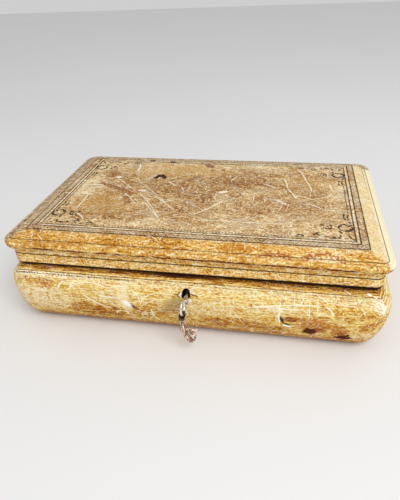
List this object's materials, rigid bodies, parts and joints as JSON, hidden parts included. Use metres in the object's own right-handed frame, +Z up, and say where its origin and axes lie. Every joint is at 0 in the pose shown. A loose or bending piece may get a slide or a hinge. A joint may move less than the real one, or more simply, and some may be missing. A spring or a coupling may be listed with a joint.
{
  "type": "hinged box",
  "caption": "Long wooden box covered in worn tooled leather, with a cushion-shaped base, a hinged bevelled lid, a link lock and a small ring key on a string.",
  "frame": {"origin": "centre of the flat underside, on the surface that the box stands on", "axes": "+X along the box to the viewer's right, +Y from the keyhole side to the hinge side, +Z up"},
  "size_m": [0.3, 0.2107, 0.0825],
  "materials": {
    "leather_base": "worn polished tan leather",
    "leather_lid": "worn tooled tan leather",
    "leather_under": "plain dark leather, matt",
    "carcass_wood": "bare softwood",
    "lining": "faded wine velvet on card",
    "hinge_brass": "dull aged brass",
    "lock_brass": "dull aged brass",
    "lock_steel": "dark steel",
    "screw_steel": "dull steel",
    "key_steel": "bright worn steel",
    "string": "old crumpled cotton string"
  },
  "bodies": {
    "base": {"bottom_board": "carcass_wood", "front_rail": "carcass_wood", "back_rail": "carcass_wood", "left_rail": "carcass_wood", "right_rail": "carcass_wood", "under_sheet": "leather_under", "base_leather": "leather_base", "lining_floor": "lining", "lining_front": "lining", "lining_back": "lining", "lining_left": "lining", "lining_right": "lining", "hinge_left_base_leaf": "hinge_brass", "hinge_right_base_leaf": "hinge_brass", "hinge_left_pin": "hinge_brass", "hinge_right_pin": "hinge_brass", "hinge_base_screws": "screw_steel", "lock_case": "lock_brass", "drill_pin": "lock_steel", "lock_screws": "screw_steel"},
    "lid": {"lid_board": "carcass_wood", "lid_front_rail": "carcass_wood", "lid_back_rail": "carcass_wood", "lid_left_rail": "carcass_wood", "lid_right_rail": "carcass_wood", "lid_leather": "leather_lid", "lid_lining_panel": "lining", "lid_lining_front": "lining", "lid_lining_back": "lining", "lid_lining_left": "lining", "lid_lining_right": "lining", "hinge_left_lid_leaf": "hinge_brass", "hinge_right_lid_leaf": "hinge_brass", "hinge_lid_screws": "screw_steel", "link_plate": "lock_brass", "link_screws": "screw_steel"},
    "lock_bolt": {"lock_bolt": "lock_steel"},
    "key_cup": {"key_cup": "lock_steel"},
    "key": {"key": "key_steel"},
    "string": {"string_loop": "string", "string_knot": "string", "string_hank": "string"}
  },
  "joints": [
    {"name": "lid_hinge", "type": "hinge", "parent": "base", "child": "lid", "pos_m": [0, 0.08965, 0.05385], "axis": [-1, 0, 0], "range_deg": [0, 110]},
    {"name": "key_turn", "type": "hinge", "parent": "base", "child": "key_cup", "pos_m": [0.0019, 0, 0.0426], "axis": [0, 1, 0], "range_deg": [0, 90]},
    {"name": "bolt_slide", "type": "slide", "parent": "base", "child": "lock_bolt", "axis": [1, 0, 0], "range_m": [0, 0.005]},
    {"name": "key_pull", "type": "slide", "parent": "key_cup", "child": "key", "axis": [0, -1, 0], "range_m": [0, 0.032]},
    {"name": "string_hang", "type": "hinge", "parent": "key", "child": "string", "pos_m": [0.0019, -0.10835, 0.0373], "axis": [0, 1, 0], "range_deg": [-90, 0]}
  ],
  "couplings": [
    {"joint": "key_turn", "follows": "bolt_slide", "rad_per_m": 314.16},
    {"joint": "string_hang", "follows": "bolt_slide", "rad_per_m": -314.16}
  ]
}
